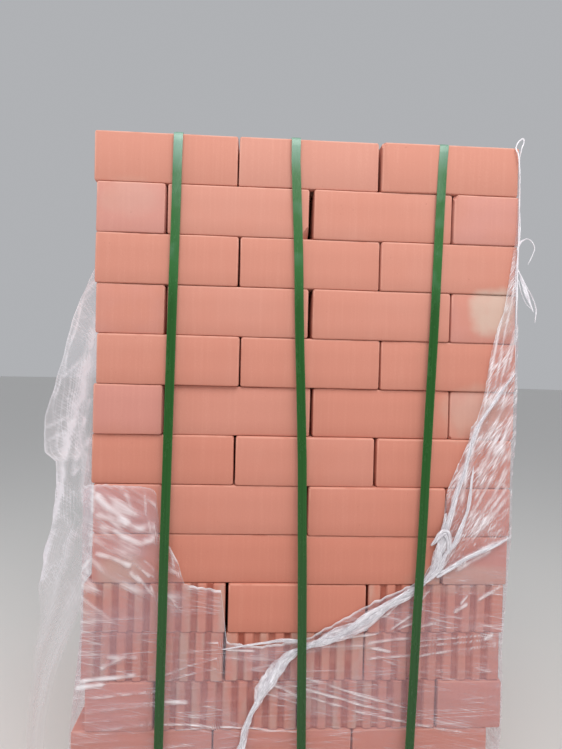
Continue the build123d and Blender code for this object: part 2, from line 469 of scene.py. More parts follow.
def brickMesh(low, high, kind, front, rnd, chip):
    b = brickShape
    along = high.x - low.x > high.y - low.y
    xCuts, yCuts, gone, rows = brickCuts(low, high, kind, front, along)
    bm = planGrid(xCuts, yCuts, low.z, gone)
    pulledUp(bm, high.z - low.z, rows)
    if kind == "ribbed":
        roundEdges(bm, sharpEdges(bm), b["ribEdge"], 1)
    else:
        inner = [e for e in sharpEdges(bm) if not outermost(e, low, high)]
        roundEdges(bm, inner, b["cellEdge"], 1)
        outer = [e for e in sharpEdges(bm) if outermost(e, low, high)]
        roundEdges(bm, outer, b["edge"], b["rounding"])
    if chip:
        chipCorner(bm, *chip, low, high)
        rnd.random()                       # keeps the tones of the bricks that follow
    tone = rnd.uniform(-1, 1)
    values = []
    for v in bm.verts:
        dust = sunk = 0.0
        # on ribbed bricks: kiln dust, and sunk, which carries the painted shade on the groove
        # floors
        if kind == "ribbed" and v.co.y < low.y + b["ribDepth"] * 1.1:
            dust, sunk = dustAt(v.co), rising(v.co.y, low.y, b["ribDepth"])
        values.append((tone, rimAt(v.co, low, high), 0.0 if along else 1.0, dust, sunk))
    if front:
        for v in bm.verts:
            v.co += noise.noise_vector(v.co * 11 + Vector((tone * 50, 0, 0))) * b["wander"]
    return finished(bm, "brick"), values


def layCourse(name, rnd):
    whole = bmesh.new()
    values = []
    for low, high, corners in looseBoxes(frame["nodes"][name]):
        front = low.y < brickShape["frontLine"]
        kind = "plain"
        if name in ("course_14", "corner_brick"):
            kind = "hollow"
        elif front and corners > brickShape["chamferCorners"]:
            kind = "ribbed"
        chip = chipFor(name, low, high) if front else None
        mesh, own = brickMesh(low, high, kind, front, rnd, chip)
        joinTo(whole, mesh)
        values += own
    mesh = finished(whole, name + "_bricks")
    paint(mesh, ("tone", "rim", "header", "ribs", "sunk"), values)
    shadeSmooth(mesh, brickShape["smooth"])
    addPiece(mesh, clayBrick, "brick", name)


def layBricks():
    rnd = random.Random(brickShape["seed"])
    for name in sorted(n for n in frame["nodes"] if n.startswith("course_")):
        layCourse(name, rnd)
    layCourse("corner_brick", rnd)


layBricks()
print("bricks laid")


# sawn pallet timber

timber = dict(light=(0.47, 0.33, 0.2, 1), dark=(0.255, 0.155, 0.085, 1),
              grey=(0.33, 0.29, 0.24, 1), knot=(0.11, 0.06, 0.034, 1), rough=0.82, gloss=0.3,
              fibreCell=(0.33, 0.018, 0.018), ringCell=(0.5, 0.06, 0.06), rings=60,
              knotCell=(0.2, 0.11, 0.11), greyScale=5, relief=(0.0012, 0.6))


def woodMaterial(name, along):             # along is 0 for boards across, 1 for runners
    t = timber
    material, shader, tree = newMaterial(name)
    tone = painted(tree, "tone")
    fibreAt, ringAt, knotAt = [
        moved(places(tree, cell if along == 0 else (cell[1], cell[0], cell[2])), tone)
        for cell in (t["fibreCell"], t["ringCell"], t["knotCell"])]
    fibre = grain(fibreAt, 1, 5, 0.65, 0.4)
    ring = grain(ringAt, 1, 2, 0.5, 1.2)
    bands = abs(ring.node("Math", {"operation": "SINE"}, {0: ring * t["rings"]}))
    gap = knotAt.node("TexVoronoi", {"feature": "F1"}, {"Vector": knotAt, "Scale": 1.1})
    knot = between(gap, 0.20, 0.10)
    weather = between(grain(moved(places(tree), tone), t["greyScale"], 4), 0.4, 0.7)
    colour = mixed(t["light"], t["dark"], bands * 0.45 + between(fibre, 0.4, 0.75) * 0.35)
    colour = mixed(colour, t["grey"], weather * 0.7)
    colour = mixed(colour, t["dark"], painted(tree, "rim") * 0.45)
    colour = mixed(colour, t["knot"], knot * 0.8)
    feed(shader, "Base Color", colour)
    feed(shader, "Roughness", t["rough"] + (fibre - 0.5) * 0.2)
    feed(shader, "Specular IOR Level", t["gloss"])
    feed(shader, "Normal", bumped(fibre + bands * 0.3 - knot * 0.4, *t["relief"]))
    return material


woodAcross = woodMaterial("wood_boards", 0)
woodBack = woodMaterial("wood_runners", 1)

plank = dict(step=0.055, edge=0.002, rounding=2, rim=(0.0002, 0.001), wander=0.0012, waned=0.35,
             wane=0.006, deep=3, smooth=30, seed=5)


def plankMesh(low, high, rnd):
    p = plank
    along = 0 if high.x - low.x > high.y - low.y else 1
    size = high - low
    cuts = [p["deep"], p["deep"]]
    cuts[along] = round(size[along] / p["step"])
    bm = planGrid(evenCuts(low.x, high.x, cuts[0]), evenCuts(low.y, high.y, cuts[1]), low.z)
    pulledUp(bm, size.z, 1)
    roundEdges(bm, sharpEdges(bm), p["edge"], p["rounding"])
    tone = rnd.uniform(-1, 1)
    waned = rnd.random() < p["waned"]
    values = []
    for v in bm.verts:
        near, far = p["rim"]
        values.append((tone, 1.0 if near < fromSides(v.co, low, high) < far else 0.0))
        long = v.co[along] * 7 + tone * 40
        rise = (v.co.z - low.z) / size.z
        side = (v.co[1 - along] - low[1 - along]) / size[1 - along]
        shift = noise.noise_vector(v.co * 8 + Vector((tone * 30, 0, 0))) * p["wander"]
        shift.z = -abs(shift.z) if rise > 0.5 else abs(shift.z)
        v.co += shift
        if waned and rise > 0.6 and side < 0.1:      # bark edge that the saw missed
            lost = max(0.0, ripple(long * 0.4, 3, 0) + 0.25) * p["wane"]
            v.co[1 - along] += lost
            v.co.z -= lost * 0.8
    return finished(bm, "plank"), values


def sawPlanks(name, material, rnd):
    whole = bmesh.new()
    values = []
    for low, high, _ in looseBoxes(frame["nodes"][name]):
        mesh, own = plankMesh(low, high, rnd)
        joinTo(whole, mesh)
        values += own
    mesh = finished(whole, name + "_wood")
    paint(mesh, ("tone", "rim"), values)
    shadeSmooth(mesh, plank["smooth"])
    addPiece(mesh, material, "pallet_wood", name)


def buildPallet():
    rnd = random.Random(plank["seed"])
    for name in sorted(frame["nodes"]):
        if name.endswith("_boards") or "board_" in name:
            sawPlanks(name, woodAcross, rnd)
        elif name.startswith("runner"):
            sawPlanks(name, woodBack, rnd)


buildPallet()
print("pallet built")


# green plastic straps

# the lighter green of the upper straps and the pale sheen colour are painted light
strapGreen = dict(deep=(0.007, 0.07, 0.005, 1), light=(0.013, 0.094, 0.011, 1),
                  patchyPale=(0.06, 0.19, 0.06, 1), upperLit=(0.028, 0.148, 0.032, 1),
                  paintedSheen=(0.24, 0.41, 0.34, 1), foot=(0.5, 0.7, 0.5, 1), rough=0.27, gloss=0.5,
                  streakCell=(0.003, 0.3, 1), scuffCell=(0.01, 0.045, 1), waffle=620,
                  relief=(0.0002, 0.3))


def strapMaterial():
    s = strapGreen
    material, shader, tree = newMaterial("strap_plastic")
    at = places(tree, uv=True)
    waffle = at.node("TexVoronoi", {"feature": "F1", "distance": "MANHATTAN"},
                     {"Vector": at, "Scale": s["waffle"], "Randomness": 0.0})
    streak = grain(places(tree, s["streakCell"], uv=True), 1)
    scuff = between(grain(places(tree, s["scuffCell"], uv=True), 1, 5, 0.7), 0.55, 0.8)
    up = sides(tree)[2]
    # painted light: the straps turn lighter green towards the top
    upperLit = between(up, 1.07, 1.15)
    patch = between(grain(places(tree), 16, 2), 0.50, 0.62)
    colour = mixed(s["deep"], s["light"], between(streak, 0.3, 0.75))
    colour = mixed(colour, s["upperLit"], upperLit * 0.65)
    # painted sheen in patches on the upper straps
    colour = mixed(colour, s["paintedSheen"], upperLit * patch * 0.12)
    colour = mixed(colour, s["patchyPale"], scuff * 0.30 + painted(tree, "rim") * 0.22)
    # painted sheen where the straps bend over the top edge
    colour = mixed(colour, s["paintedSheen"], painted(tree, "paintedSheen") * 0.85)
    # painted shade: the straps darken towards the bottom
    colour = mixed(colour, s["foot"], between(up, 0.85, 0.35), "MULTIPLY")
    feed(shader, "Base Color", colour)
    feed(shader, "Roughness", s["rough"] + scuff * 0.25)
    feed(shader, "Specular IOR Level", s["gloss"])
    feed(shader, "Normal", bumped(waffle + streak * 0.2, *s["relief"]))
    return material


strapGloss = strapMaterial()

# places down the front, top to foot, across and up
strapRuns = dict(
    strap_left=inMetres([(-236, 1378), (-237, 1329), (-241, 976), (-244, 713), (-246, 362),
                         (-247, 116)]),
    strap_middle=inMetres([(-30, 1378), (-30, 1338), (-21, 1162), (-14, 984), (-6, 805), (-1, 626),
                           (2, 449), (5, 300), (6, 116)]),
    strap_right=inMetres([(236, 1378), (234, 1341), (223, 978), (215, 715), (205, 451), (200, 300),
                          (196, 116)]))
strapShape = dict(width=0.016, thick=0.0008, bend=0.004, step=0.012, across=6, crown=0.0003,
                  sway=0.0007, weld=0.07, weldAt=0.16, lapLift=1.15, lapAside=0.0006, rim=0.48,
                  merge=1e-6, smooth=50, sheenLong=0.075,
                  sheenFrom=dict(strap_left=1.295, strap_middle=1.31, strap_right=1.316))


def alongLine(points, at):                 # the second number where the first is reached
    for (a, b), (nextA, nextB) in zip(points, points[1:]):
        if at <= nextA:
            return b + (nextB - b) * (at - a) / (nextA - a)
    return points[-1][1]


def runAt(run, z):
    for (x0, z0), (x1, z1) in zip(run, run[1:]):
        if z >= z1:
            share = (z0 - z) / (z0 - z1)
            return x0 + (x1 - x0) * share
    return run[-1][0]


def strapLoop(name):                       # its line over, down, under and up the back
    low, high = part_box(name)
    s = strapShape
    top = high.z - s["thick"] / 2
    foot = frame["strapFoot"]
    frontTop, frontFoot = frame["strapFront"]
    backTop, backFoot = frame["strapBack"]
    corners = [(backTop, top), (frontTop, top), (frontFoot, foot), (backFoot, foot)]
    line = []
    for i, corner in enumerate(corners):
        after = corners[(i + 1) % 4]
        length = math.dist(corner, after)
        count = round(length / s["step"])
        for k in range(count):
            share = (s["bend"] + (length - 2 * s["bend"]) * k / (count - 1)) / length
            y = corner[0] + (after[0] - corner[0]) * share
            z = corner[1] + (after[1] - corner[1]) * share
            x = runAt(strapRuns[name], z) + ripple(z * 6, y * 4, low.x * 9) * s["sway"]
            line.append(Vector((x, y, z)))
    return line


def measureStraps():                       # the straps' front and back runs, from the frame
    low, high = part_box("strap_left")
    wrapLow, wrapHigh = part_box("stretch_film")
    half = strapShape["thick"] / 2
    frame["strapFoot"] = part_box("deck_boards")[0].z - half
    frame["strapFront"] = (wrapLow.y - half, low.y + half)
    frame["strapBack"] = (wrapHigh.y + half, high.y - half)


def unrolled(bm, where):                   # a UV map in metres along and across the band or film
    layer = bm.loops.layers.uv.new("run")
    for face in bm.faces:
        for loop in face.loops:
            loop[layer].uv = where[loop.vert]


def ribbonAlong(line, closed):
    s = strapShape
    bm = bmesh.new()
    count = len(line)
    steps = count if closed else count - 1
    bmesh.ops.create_grid(bm, x_segments=s["across"], y_segments=steps, size=0.5)
    where = {}
    for v in bm.verts:
        side = v.co.x
        k = round((v.co.y + 0.5) * steps)
        at = line[k % count]
        before, after = line[(k - 1) % count], line[(k + 1) % count]
        if not closed:
            before, after = line[max(k - 1, 0)], line[min(k + 1, count - 1)]
        run = (after - before).normalized()
        out = run.cross(Vector((1, 0, 0))).normalized()
        v.co = at + Vector((side * s["width"], 0, 0)) + out * s["crown"] * (1 - 4 * side * side)
        where[v] = (side * s["width"], k * s["step"])
    if closed:
        bmesh.ops.remove_doubles(bm, verts=bm.verts, dist=s["merge"])
    bmesh.ops.recalc_face_normals(bm, faces=bm.faces)
    if max(bm.faces, key=lambda f: f.calc_center_median().z).normal.z < 0:
        bmesh.ops.reverse_faces(bm, faces=bm.faces)
    unrolled(bm, where)
    bmesh.ops.solidify(bm, geom=bm.faces[:], thickness=s["thick"])
    return bm


def layStrap(name):
    s = strapShape
    line = strapLoop(name)
    bm = ribbonAlong(line, True)
    top = [p for p in line if p.z > line[0].z - 0.001]
    start = round(len(top) * s["weldAt"])
    lift = Vector((s["lapAside"], 0, s["thick"] * s["lapLift"]))
    lap = [p + lift for p in top[start:start + round(s["weld"] / s["step"])]]
    joinTo(bm, finished(ribbonAlong(lap, False), "lap"))
    mesh = finished(bm, name + "_band")
    values = []
    for v in mesh.vertices:
        centre = min((abs(v.co.y - p.y) + abs(v.co.z - p.z), p.x) for p in line)[1]
        beyond = abs(v.co.y) / abs(line[0].y)
        # painted sheen on the front run, just below the top edge
        sheenFade = rising(v.co.z, s["sheenFrom"][name], s["sheenLong"])
        values.append((1.0 if abs(v.co.x - centre) > s["width"] * s["rim"] else 0.0,
                       sheenFade * held(beyond * 8 - 7) ** 2))
    paint(mesh, ("rim", "paintedSheen"), values)
    shadeSmooth(mesh, s["smooth"])
    addPiece(mesh, strapGloss, "strap", name)


measureStraps()
for strapName in strapRuns:
    layStrap(strapName)
print("straps laid")


# clear stretch film

film = dict(white=(0.95, 0.93, 0.98, 1), rough=0.22, sheenRough=0.35, through=0.7,
            patchScale=17, bend=0.15, relief=(0.002, 0.5), seen=(0.02, 0.96), smooth=60,
            merge=2e-6)

# fine creases: where they are painted, length, width, direction in degrees, thickness
wrapLines = [("slant", 0.11, 0.004, 61, 0.055), ("slant", 0.06, 0.0028, 48, 0.05),
             ("drop", 0.13, 0.012, -30, 0.08), ("drop", 0.09, 0.008, -20, 0.05),
             ("level", 0.9, 0.0085, 3, 0.032), ("level", 0.8, 0.01, -13, 0.026)]
ropeLines = [("slant", 0.08, 0.0024, 90, 0.1), ("slant", 0.04, 0.005, 84, 0.06)]
veilLines = [("slant", 0.24, 0.008, 84, 0.07), ("drop", 0.09, 0.007, 38, 0.06),
             ("level", 0.06, 0.008, -20, 0.04)]


def litThrough(material, shader, seen):    # light from behind shows too, where film hangs free
    behind = seen.node("BsdfTranslucent", None, {"Color": film["white"]})
    front = Signal(seen.tree, shader.outputs[0])
    both = seen.node("MixShader", None, {0: film["through"], 1: front, 2: behind})
    whole = seen.node("MixShader", None, {0: seen, 1: seen.node("BsdfTransparent"), 2: both})
    output = material.node_tree.nodes["Material Output"]
    seen.tree.links.new(whole.socket, output.inputs["Surface"])


def filmMaterial(name, lines, clear, crease, fine, sheen, hangs=False):
    material, shader, tree = newMaterial(name)
    patch = between(grain(places(tree, uv=True), film["patchScale"]), 0.36, 0.62)
    hairs = relief = 0
    for label, long, wide, degrees, thin in lines:
        field = grain(places(tree, (long, wide, 1), degrees, uv=True), 1, 2, 0.5, film["bend"])
        hairs = (1 - between(abs(field - 0.5), 0.0, thin)) * painted(tree, label) + hairs
        relief = field * painted(tree, label) + relief
    # the white of creases and folds: partly the film's own milky creases, partly painted glints
    white = painted(tree, "creaseAndGlint") * crease + hairs * patch * fine
    seen = painted(tree, "haze") + white
    feed(shader, "Base Color", mixed(clear, film["white"], between(white, 0.0, 0.3)))
    feed(shader, "Roughness", film["rough"] + (1 - patch) * 0.15)
    feed(shader, "Sheen Weight", sheen)
    feed(shader, "Sheen Roughness", film["sheenRough"])
    feed(shader, "Normal", bumped(relief, *film["relief"]))
    least, most = film["seen"]
    seen = seen.node("Clamp", None, {0: seen, 1: least, 2: most})
    if hangs:
        litThrough(material, shader, seen)
    else:
        feed(shader, "Alpha", seen)
    return material


# the wrap's clear tint is darkened to mauve, painted shade between the white creases
filmWrap = filmMaterial("film_clear", wrapLines, (0.6, 0.47, 0.54, 1), 0.85, 0.4, 0.3)
filmRope = filmMaterial("film_gathered", ropeLines, (0.86, 0.81, 0.87, 1), 0.66, 0.26, 0.35)
filmVeil = filmMaterial("film_veil", veilLines, (0.9, 0.8, 0.84, 1), 1.0, 0.28, 0.6, hangs=True)


def filmGrid(columns, rows):               # flat, with room for the values the film carries
    bm = bmesh.new()
    bmesh.ops.create_grid(bm, x_segments=columns, y_segments=rows, size=0.5)
    return bm, [bm.verts.layers.float.new(n) for n in ("haze", "creaseAndGlint", "slant", "drop", "level")]


def carry(v, layers, *values):
    for layer, value in zip(layers, values):
        v[layer] = value


def filmMesh(name, bm, where):             # the finished film, laid out flat in its UV map
    unrolled(bm, where)
    bmesh.ops.remove_doubles(bm, verts=bm.verts, dist=film["merge"])
    bmesh.ops.recalc_face_normals(bm, faces=bm.faces)
    mesh = finished(bm, name)
    shadeSmooth(mesh, film["smooth"])
    return mesh


# torn edge along the front, across and up
tornEdge = inMetres([
    (-386, 757), (-330, 757), (-283, 755), (-262, 748), (-256, 700), (-252, 655), (-234, 650),
    (-220, 624), (-207, 582), (-141, 571), (-127, 478), (-70, 470), (12, 480), (72, 514),
    (144, 554), (189, 574), (220, 590), (241, 621), (251, 649), (253, 674), (257, 692), (258, 719),
    (261, 750), (272, 783), (286, 814), (296, 845), (299, 871), (310, 884), (320, 918), (327, 962),
    (331, 991), (344, 1047), (355, 1075), (366, 1129), (374, 1190), (379, 1230), (382, 1372)])

# tension folds in the front: two ends across and up, width, height, whiteness
tensionFolds = inMetres([
    (379, 971, 359, 945, 6, 5, 0.9), (359, 945, 316, 882, 9, 6, 1.0),
    (316, 882, 284, 781, 10, 6, 0.9), (300, 850, 288, 740, 9, 5, 0.9),
    (284, 781, 268, 700, 7, 5, 0.7), (310, 880, 300, 800, 8, 4, 0.7),
    (344, 1047, 330, 960, 5, 3, 0.9), (366, 1129, 344, 1047, 5, 3, 0.9),
    (376, 1150, 352, 1010, 4, 3, 0.8), (380, 1060, 368, 990, 5, 3, 0.6),
    (352, 1010, 338, 930, 5, 3, 0.5), (374, 1040, 352, 960, 5, 3, 0.6),
    (306, 680, 377, 800, 6, 3.5, 0.7), (318, 680, 379, 775, 5, 3.5, 0.8),
    (330, 690, 378, 752, 6, 4, 0.9), (296, 690, 362, 820, 5, 3, 0.6),
    (312, 745, 372, 880, 6, 3.5, 0.7), (320, 790, 350, 860, 8, 4, 0.8),
    (345, 800, 376, 900, 6, 3.5, 0.7), (330, 850, 366, 925, 6, 3.5, 0.7),
    (340, 735, 379, 820, 5, 3, 0.6), (316, 830, 334, 866, 9, 4, 0.7),
    (378, 671, 340, 655, 4, 5, 1.0), (340, 655, 290, 630, 6, 6, 1.0),
    (296, 626, 262, 608, 7, 6, 0.9), (340, 646, 285, 612, 9, 4, 0.5),
    (240, 612, 266, 660, 6, 5, 0.9), (250, 605, 290, 690, 5, 4, 0.6),
    (328, 555, 364, 577, 5, 3, 0.9), (282, 533, 302, 547, 6, 3, 0.8),
    (294, 547, 305, 560, 4, 3, 0.9), (214, 531, 222, 540, 4, 3, 0.8),
    (156, 525, 176, 545, 4, 3, 0.9), (168, 500, 198, 523, 4, 3, 0.9),
    (180, 500, 205, 512, 4, 3, 0.7), (210, 540, 235, 575, 5, 3, 0.5),
    (212, 477, 363, 491, 3, 3, 0.6), (211, 466, 345, 480, 3, 2.5, 0.6),
    (213, 449, 358, 471, 3, 2.5, 0.7), (211, 504, 251, 513, 5, 3, 0.6),
    (129, 464, 162, 458, 4, 3, 1.0), (340, 482, 354, 489, 6, 3, 1.0),
    (10, 473, 133, 491, 4, 4, 0.9), (52, 480, 120, 500, 4, 4, 0.8), (90, 498, 160, 528, 5, 4, 0.7),
    (20, 468, 130, 470, 7, 4, 0.4), (130, 446, 200, 452, 4, 3, 0.6),
    (126, 476, 200, 484, 5, 3, 0.6), (11, 412, 155, 366, 3, 3, 0.9), (12, 391, 155, 352, 3, 3, 1.0),
    (12, 378, 156, 337, 3, 3, 0.7), (155, 366, 200, 356, 3, 3, 0.5),
    (155, 337, 300, 310, 3, 3, 0.7), (11, 399, 120, 372, 3, 2.5, 0.5),
    (-44, 397, 1, 378, 4, 3, 0.9), (-60, 384, 0, 366, 3, 2.5, 0.6),
    (-237, 371, -202, 369, 6, 3, 0.9), (-236, 331, -104, 322, 3, 3, 0.9),
    (-104, 322, 0, 314, 3, 3, 0.7), (-358, 378, -255, 389, 5, 3, 0.5),
    (-381, 408, -299, 416, 7, 4, 0.9), (-350, 430, -310, 452, 10, 4, 0.5),
    (-340, 450, -292, 448, 9, 4, 0.6), (-370, 352, -262, 366, 8, 3, 0.3),
    (-370, 318, -262, 330, 7, 3, 0.3), (-392, 396, -350, 400, 7, 3, 0.9),
    (-150, 476, -10, 484, 3, 3, 0.9), (-130, 462, -85, 462, 4, 3, 0.8),
    (-237, 420, -140, 450, 3, 2.5, 0.5), (-237, 408, -140, 430, 3, 2.5, 0.4),
    (-363, 737, -310, 690, 15, 6, 1.0), (-372, 725, -322, 690, 22, 4, 0.4),
    (-362, 704, -287, 680, 14, 5, 0.6), (-287, 680, -262, 684, 14, 5, 0.7),
    (-355, 683, -287, 654, 14, 5, 0.7), (-287, 654, -258, 666, 14, 5, 0.6),
    (-366, 658, -303, 627, 12, 5, 0.5), (-364, 635, -336, 630, 9, 5, 0.9),
    (-336, 630, -306, 614, 9, 5, 1.0), (-372, 758, -370, 710, 9, 5, 0.7),
    (-370, 690, -374, 650, 8, 4, 0.4), (-323, 756, -314, 741, 11, 4, 0.8),
    (-315, 741, -297, 706, 9, 4, 0.6), (-283, 755, -279, 711, 4, 3, 0.6),
    (-279, 711, -268, 676, 5, 3, 0.7), (-300, 620, -262, 600, 12, 3, 0.3),
    (-303, 602, -286, 586, 8, 3.5, 1.0), (-292, 594, -262, 560, 5, 3.5, 0.8),
    (-284, 606, -272, 594, 5, 3, 0.7), (-268, 576, -254, 548, 5, 3, 0.8),
    (-292, 612, -262, 596, 4, 3, 0.6), (-280, 622, -262, 608, 4, 3, 0.6),
    (-236, 648, -222, 622, 6, 4, 0.9), (-232, 640, -228, 612, 5, 3, 0.8),
    (-214, 606, -222, 596, 5, 4, 1.0), (-236, 560, -226, 550, 6, 3, 1.0),
    (-226, 546, -214, 536, 4, 3, 0.7), (-386, 650, -378, 600, 11, 4, 0.5),
    (-392, 600, -372, 628, 9, 4, 0.9), (-390, 560, -370, 574, 6, 3, 0.5)], shares=1)

# its left side: up and across, over the stepped course
leftSide = inMetres([
    (1380, -3785), (2265, -4055), (3150, -4055), (4920, -3895), (13770, -3830)], tenths)

# the front is 0.78 m wide when the film is laid out flat, and the tear goes up its left side
wrapShape = dict(rows=236, side=50, back=36, foot=0.141, head=1.372, clear=0.0008, front=0.78,
                 frontColumns=((0.0, 66), (0.235, 114), (0.8, 96), (1.0, 0)), slope=0.05,
                 tearLow=0.752, tearHigh=1.2, tearLong=0.177, tearEnd=0.012, tearAt=0.7,
                 ragged=(0.004, 0.012), strapGap=0.0135, pinch=0.012, rest=0.0008,
                 strapTop=1.378, strapLong=1.262, corner=0.035, atCorner=0.12,
                 knot=(0.238, 0.625))

# zones of the front: where each starts across or up, and how far it takes to come in
frontZones = dict(right=(0.225, 0.03), rightFoot=(0.66, 0.02), rightEdge=0.378, rightLean=0.45,
                  wedge=(0.235, 0.03), wedgeFoot=(0.59, 0.015), left=(0.2, 0.03),
                  leftFoot=(0.5, 0.05), lowLeft=(0.2, 0.05), upper=(1.16, 0.05))

# creases: direction in degrees, length, width, seed
frontCreases = [(50, 0.035, 0.009, 17), (-28, 0.2, 0.034, 5), (3, 0.4, 0.02, 7)]
sideCreases = [(5, 0.3, 0.022, 11), (38, 0.15, 0.03, 13), (-28, 0.12, 0.026, 15)]
fanCrease = dict(turn=0.2, long=0.12, wide=0.0085, seed=3)


def readCourses():                         # where each course of bricks stands out
    courses = {}
    for name in frame["nodes"]:
        if name.startswith("course_") or name == "corner_brick":
            low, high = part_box(name)
            key = round(low.z, 3)
            old = courses.get(key, (low, high))
            courses[key] = (Vector(map(min, old[0], low)), Vector(map(max, old[1], high)))
    return list(courses.values())


courseBoxes = readCourses()


def hugged(side, z):                       # film drawn tight over the courses
    sign, axis, end = {"right": (1, 0, 1), "front": (-1, 1, 0), "back": (1, 1, 1)}[side]
    best = max(sign * box[end][axis] - wrapShape["slope"] * max(0.0, box[0].z - z, z - box[1].z)
               for box in courseBoxes)
    return sign * (best + wrapShape["clear"])


def leftWall(z):                           # the wrap's left side
    return alongLine(leftSide, max(z, leftSide[0][0]))


def ridge(along, across, long, wide, seed):
    # a sharp fold that wanders: 1 on its line, 0 away from it
    drift = ripple(along / long * 0.8, across / wide * 0.25, seed + 9.1) * 0.7
    return max(0.0, 1 - abs(ripple(along / long, across / wide + drift, seed)) * 4.2)


def crease(a, b, degrees, long, wide, seed):         # a ridge that runs at an angle
    c, s = math.cos(math.radians(degrees)), math.sin(math.radians(degrees))
    return ridge(a * c + b * s, -a * s + b * c, long, wide, seed)


def foldNear(x, z, folds):                 # height and whiteness of the folds at a place
    height = white = 0.0
    for x0, z0, x1, z1, wide, high, pale in folds:
        dx, dz = x1 - x0, z1 - z0
        length = dx * dx + dz * dz
        t = ((x - x0) * dx + (z - z0) * dz) / length
        if not -0.2 < t < 1.2:
            continue
        ends = max(0.0, 1 - max(0.0, -t, t - 1) * 5)
        side = ripple(x * 22, z * 22, wide * 900) * 0.003
        off = ((x - x0) * dz - (z - z0) * dx) / math.sqrt(length) + side
        near = max(0.0, 1 - abs(off) / wide) * ends
        if near > 0:
            broken = 0.72 + 0.7 * ripple(x * 55, z * 55, wide * 500)
            height = max(height, high * near)
            white = max(white, pale * near ** 1.4 * held(broken))
    return height, white


def frontCrinkle(x, z):
    # haze, height, whiteness and the three directions that the film is pulled in
    q = frontZones
    leaning = z + (q["rightEdge"] - x) * q["rightLean"]
    right = rising(x, *q["right"]) * rising(leaning, *q["rightFoot"])
    wedge = rising(x, *q["wedge"]) * rising(z, *q["wedgeFoot"]) * (1 - right)
    left = rising(-x, *q["left"]) * rising(z, *q["leftFoot"])
    upper = rising(x, *q["right"]) * rising(z, *q["upper"])
    low = (1 - right) * (1 - wedge) * (1 - left)
    knotX, knotZ = wrapShape["knot"]       # the creases at the right fan out from it
    reach = math.hypot(x - knotX, z - knotZ)
    swing = math.atan2(z - knotZ, x - knotX)
    f = fanCrease
    fan = ridge(reach, swing * f["turn"], f["long"], f["wide"], f["seed"])
    cross, down, across = [crease(x, z, *c) for c in frontCreases]
    height, white = foldNear(x, z, tensionFolds)
    height = max(height, 0.004 * fan * right, 0.003 * cross * right, 0.0035 * down * left,
                 0.0018 * across * low)
    height += 0.0012 * max(0.0, ripple(x * 45, z * 45, 2)) * (right + left)
    cloud = held(0.5 + 1.2 * ripple(x * 20, z * 20, 8))
    blot = held(ripple(x * 9, z * 9, 31) * 2 + 0.5)
    white *= 1 - 0.4 * left - 0.3 * low - 0.2 * right
    white = max(white, (0.52 * fan ** 3.5 + 0.2 * cross ** 4) * right * (0.2 + 0.8 * cloud),
                0.34 * down * left * cloud, 0.22 * across ** 4 * low * cloud) * (1 - 0.5 * upper)
    right *= 1 - 0.6 * upper
    haze = (0.04 + 0.05 * low + 0.08 * right + 0.16 * wedge + 0.22 * left * (0.5 + 0.5 * blot)
            + low * (0.06 + 0.12 * blot + 0.05 * rising(-x, *q["lowLeft"])))
    return haze, height, white, right * 0.9, left * 0.18, low * 0.38 + wedge * 0.15


def sideCrinkle(s, z):                     # the same for the sides and the back
    level, rise, fall = [crease(s, z, *c) for c in sideCreases]
    rise *= held(0.5 + 0.9 * ripple(s * 3, z * 3, 1))
    fall *= held(0.2 + ripple(s * 3, z * 3, 6))
    lap = 0.04 if (z - s * 0.05) % 0.4 < 0.2 else 0.0          # turns of the wrap overlap
    height = max(0.0026 * level, 0.004 * rise, 0.0035 * fall)
    white = max(0.4 * level ** 4, 0.55 * rise ** 3, 0.45 * fall ** 3)
    return 0.06 + lap, height, white, 0.18, 0.15, 0.4


def wrapTop(face, share, x):
    w = wrapShape
    if face == "front":
        return min(w["head"], alongLine(tornEdge, x) + ripple(x * 90, 2, 0) * w["ragged"][0])
    if face != "left":
        return w["head"]
    back = 1 - share                       # 0 at the front corner
    if back < w["tearLong"]:
        return (w["tearLow"] + (w["tearHigh"] - w["tearLow"]) * back / w["tearLong"]
                + ripple(back * 60, 5, 0) * w["ragged"][1])
    return w["tearHigh"] + (w["head"] - w["tearHigh"]) * rising(back, w["tearLong"], w["tearEnd"])


def heldByStraps(x, z, height, under):     # the straps press the film against the bricks
    w = wrapShape
    for run in strapRuns.values():
        off = abs(x - runAt(run, z))
        if off < w["strapGap"] + w["pinch"]:
            free = rising(off, w["strapGap"], w["pinch"])
            height = height * free + min(height, under) * (1 - free)
    return height


def wrapColumns():                         # the face that each column is on, and how far along
    w = wrapShape
    columns = [("left", k / w["side"]) for k in range(w["side"])]
    for (start, count), after in zip(w["frontColumns"], w["frontColumns"][1:]):
        columns += [("front", start + (after[0] - start) * k / count) for k in range(count)]
    columns += [("right", k / w["side"]) for k in range(w["side"])]
    return columns + [("back", k / w["back"]) for k in range(w["back"])]


def wrapPlace(face, share, z, low, high):  # across and back on the stack, and the way out
    left, right = leftWall(z), hugged("right", z)
    front, back = max(low.y, hugged("front", z)), min(high.y, hugged("back", z))
    return {"left": (left, back + (front - back) * share, (-1, 0, 0)),
            "front": (left + (right - left) * share, front, (0, -1, 0)),
            "right": (right, front + (back - front) * share, (1, 0, 0)),
            "back": (right + (left - right) * share, back, (0, 1, 0))}[face]


